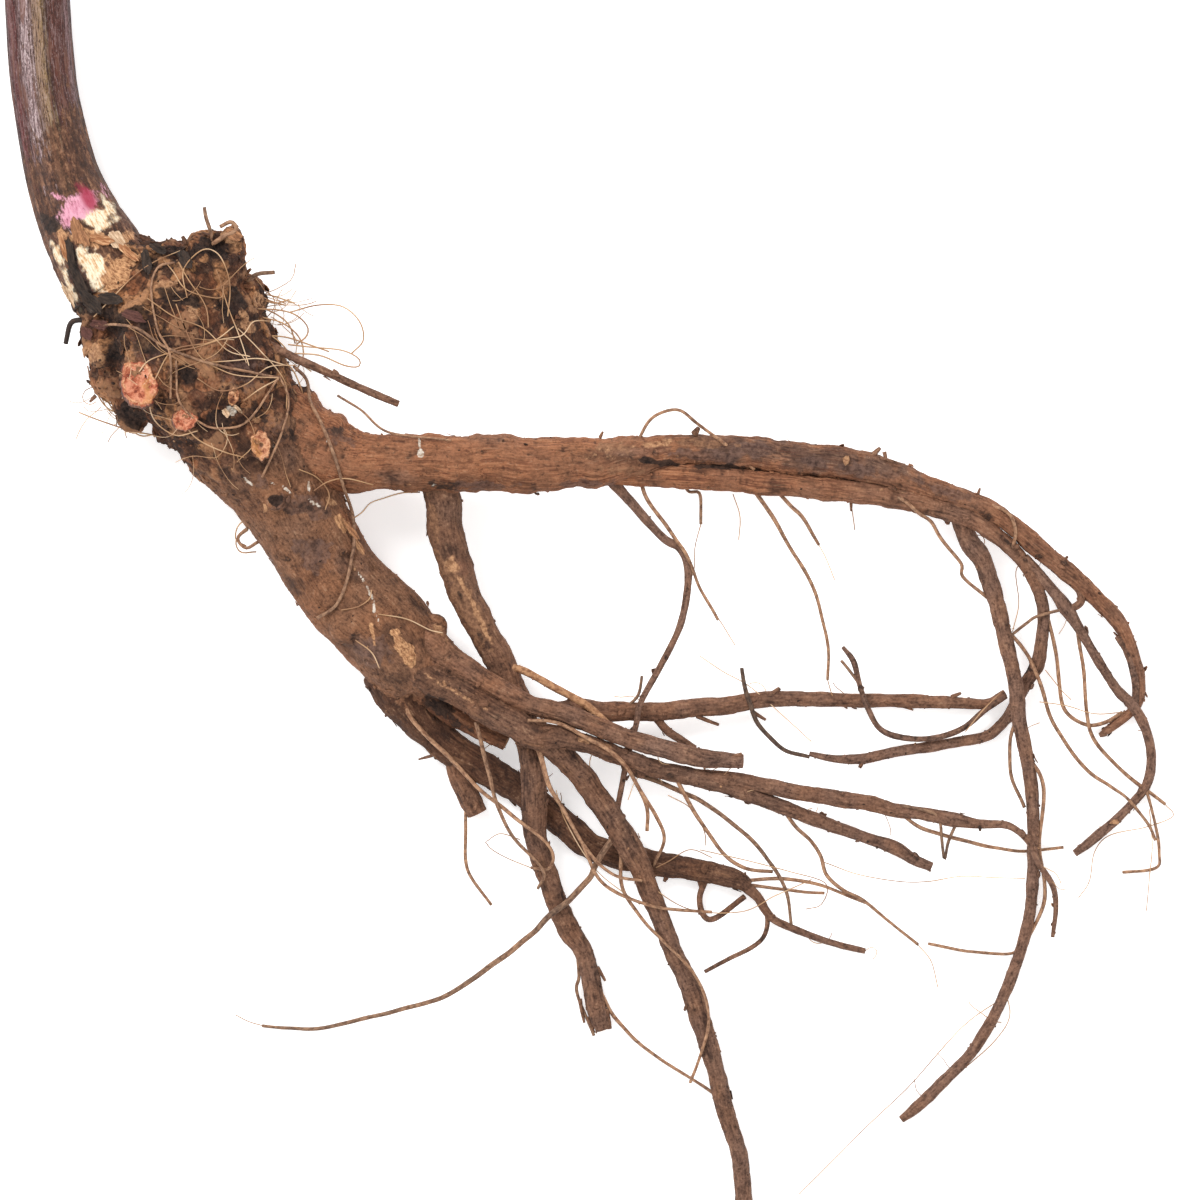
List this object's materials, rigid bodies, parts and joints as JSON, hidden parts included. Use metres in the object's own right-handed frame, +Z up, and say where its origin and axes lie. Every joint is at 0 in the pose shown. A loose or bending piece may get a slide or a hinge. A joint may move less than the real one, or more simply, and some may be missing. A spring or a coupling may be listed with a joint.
{
  "type": "black cohosh root",
  "caption": "Dug-up black cohosh root lying on its side: knobbly rhizome with stem scars, forked woody roots, thin rootlets and a cut stem stub.",
  "frame": {"origin": "centre of the part's outline on the surface that it lies on", "axes": "+Z up from that surface, +Y towards the stem's cut end, +X towards the arched root tips"},
  "size_m": [0.233, 0.245, 0.0312],
  "materials": {
    "bark": "matt, rough, soil-stained brown bark with paler scars and tan peeled places",
    "stem": "satin, grey-lilac and maroon streaked skin"
  },
  "bodies": {
    "root": {"rootstock": "bark", "stem": "stem"}
  },
  "joints": []
}
